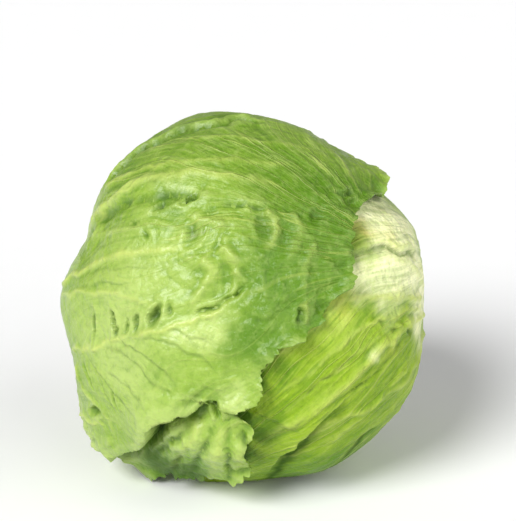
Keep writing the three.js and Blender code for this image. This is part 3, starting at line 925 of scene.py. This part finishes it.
def build_stem(sides, rings):
    """The cut stem with its core: a ridged side, a worn rim and an uneven cut face."""
    profile = np.array(STEM_PROFILE)
    steps = np.concatenate(((0,), np.cumsum(np.linalg.norm(np.diff(profile, axis=0), axis=1))))
    where = np.linspace(STEM_TIP_START, steps[-1], rings)
    radius = np.interp(where, steps, profile[:, 0])
    height = np.interp(where, steps, profile[:, 1])
    face_rings = rings // 2
    face = np.linspace(profile[-1, 0], CUT_MIDDLE, face_rings)
    radius = np.concatenate((radius, face))
    height = np.concatenate((height, np.full(face_rings, float(STEM_CUT))))
    turn = np.arange(sides) * TURN / sides
    around, which = np.meshgrid(turn, np.arange(len(radius)))
    around, which = around.ravel(), which.ravel()
    noise = Noise(9)
    on_face = which >= rings
    r, h = radius[which], height[which]
    ring = np.column_stack((np.cos(around) * 4, np.sin(around) * 4, h / 9))
    r = r * (1 + 0.02 * noise(ring) + 0.015 * np.cos(STEM_RIDGES * around))
    spots = np.column_stack((r * np.cos(around), r * np.sin(around), h))
    dish = -0.7 * bell(r, 9) + 0.35 * bell(r - 10.5, 1.6)
    h = h + np.where(on_face, dish + 0.25 * noise(spots, 4) + 0.1 * noise(spots, 1.6), 0)
    points = np.column_stack((r * np.cos(around), -r * np.sin(around), -h))
    table = np.arange(len(points)).reshape(len(radius), sides)
    table = np.column_stack((table, table[:, 0]))
    faces = quads_of(table).tolist()
    faces.append([int(i) for i in table[0, :-1]][::-1])
    faces.append([int(i) for i in table[-1, :-1]])
    marks = {"cut": on_face.astype(float), "across": np.clip(r / STEM_RADIUS, 0, 1)}
    return build_mesh("stem_flesh", points, faces, marks)


class Value:
    """A shader socket that takes part in Python arithmetic, adding a Math node for each step."""

    def __init__(self, surface, socket):
        self.surface = surface
        self.socket = socket

    def _math(self, operation, first, second):
        return self.surface.node("ShaderNodeMath", {"operation": operation}, {0: first, 1: second})

    def __add__(self, other):
        return self._math("ADD", self, other)

    def __radd__(self, other):
        return self._math("ADD", other, self)

    def __sub__(self, other):
        return self._math("SUBTRACT", self, other)

    def __rsub__(self, other):
        return self._math("SUBTRACT", other, self)

    def __mul__(self, other):
        return self._math("MULTIPLY", self, other)

    def __rmul__(self, other):
        return self._math("MULTIPLY", other, self)

    def __abs__(self):
        return self._math("ABSOLUTE", self, 0.0)


class Surface:
    """A material under construction: its nodes, its colours and its one shader."""

    BUMP_DEPTH = 0.0008

    def __init__(self, name):
        self.material = bpy.data.materials.new(name)
        self.material.use_nodes = True
        self.tree = self.material.node_tree
        self.tree.nodes.clear()

    def node(self, kind, settings, sockets, output=0):
        """Adds a node, with its settings set first and then the values or links of its sockets."""
        made = self.tree.nodes.new(kind)
        for key, value in settings.items():
            setattr(made, key, value)
        for key, value in sockets.items():
            if isinstance(value, Value):
                self.tree.links.new(value.socket, made.inputs[key])
            else:
                made.inputs[key].default_value = value
        return Value(self, made.outputs[output])

    def mark(self, name):
        """A number that the mesh holds at each point."""
        settings = {"attribute_type": "GEOMETRY", "attribute_name": name}
        return self.node("ShaderNodeAttribute", settings, {}, "Fac")

    def place(self):
        return self.node("ShaderNodeTexCoord", {}, {}, "Object")

    def noise(self, size, detail=3.0, roughness=0.5):
        """Noise from about 0 to 1 with patches of a size in metres."""
        sockets = {"Vector": self.place(), "Scale": 1 / size, "Detail": detail, "Roughness": roughness}
        return self.node("ShaderNodeTexNoise", {}, sockets, "Fac")

    def streaks(self, size, stretch, detail=2.0):
        """Noise from about 0 to 1 in streaks along the leaf's veins, of a width in metres."""
        along = self.mark("along") * (1 / stretch)
        parts = {0: self.mark("flow_x"), 1: self.mark("flow_y"), 2: along}
        flow = self.node("ShaderNodeCombineXYZ", {}, parts)
        sockets = {"Vector": flow, "Scale": 1 / size, "Detail": detail}
        return self.node("ShaderNodeTexNoise", {}, sockets, "Fac")

    def cells(self, size, warp):
        """The distance to the nearest border between cells of a size in metres, wavering by warp."""
        stir = self.node("ShaderNodeTexNoise", {}, {"Vector": self.place(), "Scale": 1.3 / size}, "Color")
        stir = self.node("ShaderNodeVectorMath", {"operation": "SCALE"}, {0: stir, "Scale": warp * size})
        moved = self.node("ShaderNodeVectorMath", {"operation": "ADD"}, {0: self.place(), 1: stir})
        settings = {"feature": "DISTANCE_TO_EDGE"}
        return self.node("ShaderNodeTexVoronoi", settings, {"Vector": moved, "Scale": 1 / size}, "Distance")

    def ramp(self, value, low, high):
        """The value as 0 at low and 1 at high, eased between them."""
        sockets = {0: value, 1: low, 2: high, 3: 0.0, 4: 1.0}
        return self.node("ShaderNodeMapRange", {"interpolation_type": "SMOOTHSTEP"}, sockets)

    def mix(self, share, first, second):
        """The first colour turned into the second by a share."""
        settings = {"data_type": "RGBA", "clamp_factor": True}
        return self.node("ShaderNodeMix", settings, {0: share, 6: first, 7: second}, 2)

    def bump(self, height):
        """The surface's direction with a fine relief, from a height from about 0 to 1."""
        sockets = {"Height": height, "Distance": self.BUMP_DEPTH, "Strength": 1.0}
        return self.node("ShaderNodeBump", {}, sockets)

    def finish(self, sockets):
        """Sets the one Principled shader from its sockets and gives the material."""
        shader = self.node("ShaderNodeBsdfPrincipled", {}, sockets)
        output = self.tree.nodes.new("ShaderNodeOutputMaterial")
        self.tree.links.new(shader.socket, output.inputs["Surface"])
        return self.material


def opaque(colour):
    return (*colour, 1.0)


# How glossy the outer leaves and the paler leaves are, as an index of refraction and a weight of wax
OUTER_GLOSS = (1.38, 0.25)
PALE_GLOSS = (1.25, 0.08)


def leaf_finish(name, colours, body, pale, ior, coat):
    """Waxy leaf: streaked green with pale veins, a faint net of fine veins, painted shade in hollows,
    creases and gaps, and painted highlights on crests.
    """
    leaf = Surface(name)
    patches = leaf.noise(0.016, 4)
    specks = leaf.noise(0.003, 3)
    grown = leaf.mark("grown")
    broad = leaf.streaks(0.0045, 7)
    narrow = leaf.streaks(0.0014, 9, 3)
    threads = leaf.streaks(0.0075, 12, 1) - 0.5
    thread = grown * (1 - leaf.ramp(abs(threads), 0.0, 0.022))
    net = leaf.cells(0.0052, 0.7)
    deep, light = opaque(colours.leaf_deep), opaque(pale)
    lit = 1 - 0.65 * leaf.mark("deep")
    # The margins' deeper green, and painted shade at the leaves' feet, beside the frill and past covering
    # margins
    colour = leaf.mix(leaf.mark("deep") * (0.45 + 0.9 * patches), opaque(body), deep)
    colour = leaf.mix(leaf.ramp(patches, 0.42, 0.75) * 0.35, colour, deep)
    # Paler patches, on the left leaf partly painted sheen
    colour = leaf.mix(leaf.mark("pale") * (0.5 + 0.8 * patches), colour, light)
    colour = leaf.mix(leaf.mark("cream") * (0.6 + 0.8 * broad), colour, opaque(colours.leaf_cream))
    colour = leaf.mix(leaf.mark("warm") * (0.3 + 0.8 * specks), colour, opaque(colours.leaf_warm))
    colour = leaf.mix(leaf.mark("base") * 0.85, colour, opaque(colours.rib_white))
    colour = leaf.mix(grown * leaf.ramp(broad, 0.50, 0.32) * 0.45, colour, deep)
    colour = leaf.mix(grown * lit * leaf.ramp(broad, 0.52, 0.70) * 0.40, colour, light)
    colour = leaf.mix(grown * leaf.ramp(narrow, 0.48, 0.32) * 0.50, colour, deep)
    colour = leaf.mix(grown * lit * leaf.ramp(narrow, 0.52, 0.70) * 0.45, colour, light)
    # Painted shade in the relief's hollows and painted highlights on its crests
    colour = leaf.mix(leaf.mark("hollow_shade") * 0.6, colour, deep)
    colour = leaf.mix(lit * leaf.mark("crest_highlight") * 0.4, colour, light)
    colour = leaf.mix((1 - leaf.ramp(net, 0.0, 0.08)) * 0.06, colour, light)
    colour = leaf.mix(leaf.ramp(specks, 0.50, 0.72) * 0.18, colour, light)
    colour = leaf.mix(leaf.ramp(specks, 0.48, 0.28) * 0.25, colour, deep)
    colour = leaf.mix(thread * 0.35, colour, opaque(colours.vein))
    colour = leaf.mix(leaf.mark("vein") * 0.75, colour, opaque(colours.vein))
    # Painted shade in creases, pits, gutters, slits, gaps past covering margins and at the leaves' feet
    colour = leaf.mix(leaf.mark("painted_shade") * 0.85, colour, opaque(colours.crease_shade))
    relief = leaf.ramp(net, 0.0, 0.3) * 0.22 + leaf.noise(0.0012, 2) * 0.3 + specks * 0.8
    relief = relief + grown * (narrow * 0.6 + broad * 0.5) + thread * 0.3
    return leaf.finish(
        {
            "Base Color": colour,
            "Roughness": 0.30 + 0.2 * specks + 0.45 * leaf.mark("painted_shade"),
            "Normal": leaf.bump(relief),
            "IOR": ior,
            "Coat Weight": coat * (1 - 0.8 * leaf.mark("deep")),
            "Coat Roughness": 0.25,
            "Subsurface Weight": 0.05,
            "Subsurface Radius": (0.5, 1.0, 0.2),
            "Subsurface Scale": 0.0015,
        }
    )


def heart_finish(colours):
    """Pale inner leaves, paler towards the stem."""
    heart = Surface("heart_leaf")
    patches = heart.noise(0.012, 4)
    colour = heart.mix(patches, opaque(colours.leaf_pale), opaque(colours.leaf_light))
    colour = heart.mix(heart.mark("base"), colour, opaque(colours.rib_white))
    relief = heart.noise(0.004, 3)
    return heart.finish(
        {"Base Color": colour, "Roughness": 0.35 + 0.2 * patches, "Normal": heart.bump(relief)}
    )


def stem_finish(colours):
    """A cut stem: cream and fibrous, browned where the air reached the cut."""
    stem = Surface("stem_cut")
    blotches = stem.noise(0.006, 5, 0.6)
    fibres = stem.noise(0.0012, 3)
    across = stem.mark("across")
    cut = stem.mark("cut")
    ring = stem.ramp(across, 0.52, 0.62) * (1 - stem.ramp(across, 0.70, 0.82))
    edge = stem.ramp(across, 0.80, 1.0)
    browned = cut * (0.25 + 0.9 * stem.ramp(blotches, 0.35, 0.7)) * (0.35 + 0.5 * ring + 0.7 * edge)
    colour = stem.mix(stem.ramp(blotches, 0.3, 0.7), opaque(colours.stem_cream), opaque(colours.rib_white))
    colour = stem.mix(browned, colour, opaque(colours.stem_brown))
    relief = blotches * 0.7 + fibres * 0.5
    return stem.finish(
        {"Base Color": colour, "Roughness": 0.5 + 0.3 * blotches, "Normal": stem.bump(relief)}
    )


def floor_finish(colours):
    floor = Surface("floor_paint")
    grain = floor.noise(0.02, 3)
    colour = floor.mix(grain * 0.15, opaque(colours.floor), (1.0, 1.0, 1.0, 1.0))
    return floor.finish({"Base Color": colour, "Roughness": 0.7 + 0.2 * grain})


def length(name, description, default):
    return FloatProperty(
        name=name, description=description, default=default, unit="LENGTH", subtype="DISTANCE"
    )


def angle(name, description, default):
    return FloatProperty(name=name, description=description, default=default, subtype="ANGLE")


def number(name, description, default, low=0.0):
    return FloatProperty(name=name, description=description, default=default, min=low)


def count(name, description, default, low):
    return IntProperty(name=name, description=description, default=default, min=low)


def colour(name, description, default):
    return FloatVectorProperty(
        name=name, description=description, default=default, subtype="COLOR", size=3, min=0.0, max=1.0
    )


class LettuceShape(bpy.types.PropertyGroup):
    """Sizes of the leaves."""

    leaf_thickness: length("Leaf thickness", "Thickness of a leaf between its veins", 0.0006)
    rib_height: length("Rib height", "How far the ribs stand out near the stem", 0.0016)
    vein_height: length("Vein height", "How far the fine veins stand out", 0.0004)
    blister_height: length("Blister height", "How far the leaf swells between its veins", 0.0013)
    frill_height: length("Frill height", "How far the waved margin stands off the head", 0.0045)
    tooth_depth: length("Tooth depth", "How far the margin's lobes and teeth reach", 0.0026)
    left_cells: count("Left cells", "Cells across the left leaf", 288, 60)
    right_cells: count("Right cells", "Cells across the right leaf", 270, 60)
    plain_cells: count("Plain cells", "Cells across a hidden leaf", 150, 30)


class LettuceColours(bpy.types.PropertyGroup):
    """Colours of the leaves, the stem and the floor."""

    leaf_light: colour("Leaf", "Green of the outer leaves", (0.25, 0.39, 0.040))
    leaf_right: colour("Right leaf", "Yellower green of the second leaf", (0.24, 0.38, 0.012))
    # The margins' deeper green, also used for painted shade in hollows, at the leaves' feet and past
    # covering margins
    leaf_deep: colour("Deep green", "Green towards the margins", (0.088, 0.205, 0.006))
    leaf_pale: colour("Pale green", "Green near the ribs of the outer leaves", (0.45, 0.57, 0.165))
    leaf_lime: colour("Lime", "Yellow green on the second leaf's ribs", (0.36, 0.49, 0.06))
    leaf_cream: colour("Cream", "The second leaf's pale base", (0.92, 0.94, 0.54))
    leaf_warm: colour("Warm tint", "Yellowed patches", (0.66, 0.58, 0.12))
    vein: colour("Vein", "The main veins", (0.52, 0.60, 0.14))
    # A near-black green for the painted shade in creases, pits, gutters, slits and gaps past covering
    # margins
    crease_shade: colour("Crease", "Deep green in creases", (0.015, 0.055, 0.003))
    rib_white: colour("Rib white", "The pale leaf bases", (0.62, 0.66, 0.36))
    stem_cream: colour("Stem cream", "The stem's flesh", (0.72, 0.66, 0.42))
    stem_brown: colour("Stem brown", "The browned cut", (0.36, 0.17, 0.06))
    floor: colour("Floor", "The pale floor", (0.95, 0.95, 0.95))


class LettuceStage(bpy.types.PropertyGroup):
    """The camera and the lights."""

    focal: number("Lens", "Focal length in millimetres", 110.0, 20.0)
    view_height: length("View height", "Height of the picture at the head", 0.224)
    key_strength: number("Key light", "Strength of the light from the left", 3.4)
    key_softness: angle("Key softness", "How wide the key light is", 0.5)
    fill_strength: number("Fill light", "Strength of the light from the right", 1.65)
    fill_softness: angle("Fill softness", "How wide the fill is", 1.2)
    sky: number("Sky", "Strength of the light from all round", 0.22)


def place_piece(piece, node, material):
    """Dresses a piece, stands it in for its solid and fixes it to the head's one body."""
    piece.data.materials.append(material)
    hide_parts(node)
    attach(piece, "root")


class LETTUCE_OT_leaves(bpy.types.Operator):
    """Builds the six wrapper leaves"""

    bl_idname = "lettuce.leaves"
    bl_label = "Wrapper Leaves"

    def execute(self, context):
        shape = context.scene.lettuce_shape
        colours = context.scene.lettuce_colours
        outer = leaf_finish("leaf_green", colours, colours.leaf_light, colours.leaf_pale, *OUTER_GLOSS)
        pale = leaf_finish(
            "leaf_yellow_green", colours, colours.leaf_right, colours.leaf_lime, *PALE_GLOSS
        )
        cells = {"leaf_left": shape.left_cells, "leaf_right": shape.right_cells}
        for leaf in LEAVES:
            across = cells.get(leaf.name, shape.plain_cells)
            piece = build_leaf(leaf, across, shape)
            place_piece(piece, leaf.name, outer if leaf.slot == "leaf_outer" else pale)
        return {"FINISHED"}


class LETTUCE_OT_heart(bpy.types.Operator):
    """Builds the dense heart of inner leaves"""

    bl_idname = "lettuce.heart"
    bl_label = "Heart"

    def execute(self, context):
        piece = build_heart(*HEART_CELLS)
        place_piece(piece, "heart", heart_finish(context.scene.lettuce_colours))
        return {"FINISHED"}


class LETTUCE_OT_stem(bpy.types.Operator):
    """Builds the cut stem and its core"""

    bl_idname = "lettuce.stem"
    bl_label = "Stem"

    def execute(self, context):
        piece = build_stem(*STEM_CELLS)
        place_piece(piece, "stem", stem_finish(context.scene.lettuce_colours))
        return {"FINISHED"}


# The ways from the head to its lights, the spot of the face frame at the middle of the picture, and the
# floor's width in metres
KEY_WAY = (-0.48, -0.64, 0.62)
FILL_WAY = (0.75, -0.55, 0.40)
AIM_POINT = (4.7, 15.7, 0.0)
FLOOR_WIDTH = 80


def add_sun(name, way, softness, strength):
    """A far light as wide as softness, so that the whole floor is lit alike."""
    data = bpy.data.lights.new(name, "SUN")
    data.angle = softness
    data.energy = strength
    light = bpy.data.objects.new(name, data)
    light.rotation_euler = (-Vector(way)).to_track_quat("-Z", "Y").to_euler()
    light.location = Vector(way)
    bpy.context.collection.objects.link(light)


class LETTUCE_OT_stage(bpy.types.Operator):
    """Sets the floor, the soft lights and the camera"""

    bl_idname = "lettuce.stage"
    bl_label = "Stage"

    def execute(self, context):
        stage = context.scene.lettuce_stage
        scene = context.scene
        scene.view_settings.view_transform = "Standard"
        bpy.ops.mesh.primitive_plane_add(size=FLOOR_WIDTH)
        floor = context.object
        floor.name = "floor"
        floor.data.materials.append(floor_finish(scene.lettuce_colours))
        world = bpy.data.worlds.new("soft_sky")
        world.use_nodes = True
        world.node_tree.nodes["Background"].inputs["Color"].default_value = (1.0, 1.0, 1.0, 1.0)
        world.node_tree.nodes["Background"].inputs["Strength"].default_value = stage.sky
        scene.world = world
        add_sun("key_light", KEY_WAY, stage.key_softness, stage.key_strength)
        add_sun("fill_light", FILL_WAY, stage.fill_softness, stage.fill_strength)
        aim = Vector(to_frame(np.array(AIM_POINT)))
        towards = Vector((0.0, -math.cos(CROWN_TILT), math.sin(CROWN_TILT)))
        data = bpy.data.cameras.new("camera")
        data.lens = stage.focal
        camera = bpy.data.objects.new("camera", data)
        camera.location = aim + towards * stage.view_height * stage.focal / data.sensor_width
        camera.rotation_euler = (aim - camera.location).to_track_quat("-Z", "Y").to_euler()
        context.collection.objects.link(camera)
        scene.camera = camera
        return {"FINISHED"}


class LETTUCE_PT_panel(bpy.types.Panel):
    """Lists the steps that build the head"""

    bl_idname = "LETTUCE_PT_panel"
    bl_label = "Iceberg Lettuce"
    bl_space_type = "VIEW_3D"
    bl_region_type = "UI"
    bl_category = "Lettuce"

    def draw(self, context):
        for step in STEPS:
            self.layout.operator(step.bl_idname)
        for group in ("lettuce_shape", "lettuce_colours", "lettuce_stage"):
            settings = getattr(context.scene, group)
            for key in settings.bl_rna.properties.keys():
                if key not in ("rna_type", "name"):
                    self.layout.prop(settings, key)


STEPS = (LETTUCE_OT_stage, LETTUCE_OT_stem, LETTUCE_OT_heart, LETTUCE_OT_leaves)
GROUPS = (LettuceShape, LettuceColours, LettuceStage)


def register():
    for cls in (*GROUPS, *STEPS, LETTUCE_PT_panel):
        bpy.utils.register_class(cls)
    bpy.types.Scene.lettuce_shape = PointerProperty(type=LettuceShape)
    bpy.types.Scene.lettuce_colours = PointerProperty(type=LettuceColours)
    bpy.types.Scene.lettuce_stage = PointerProperty(type=LettuceStage)


def unregister():
    del bpy.types.Scene.lettuce_stage
    del bpy.types.Scene.lettuce_colours
    del bpy.types.Scene.lettuce_shape
    for cls in reversed((*GROUPS, *STEPS, LETTUCE_PT_panel)):
        bpy.utils.unregister_class(cls)


def main():
    register()
    bpy.ops.lettuce.stage()
    bpy.ops.lettuce.stem()
    bpy.ops.lettuce.heart()
    bpy.ops.lettuce.leaves()


if __name__ == "__main__":
    main()
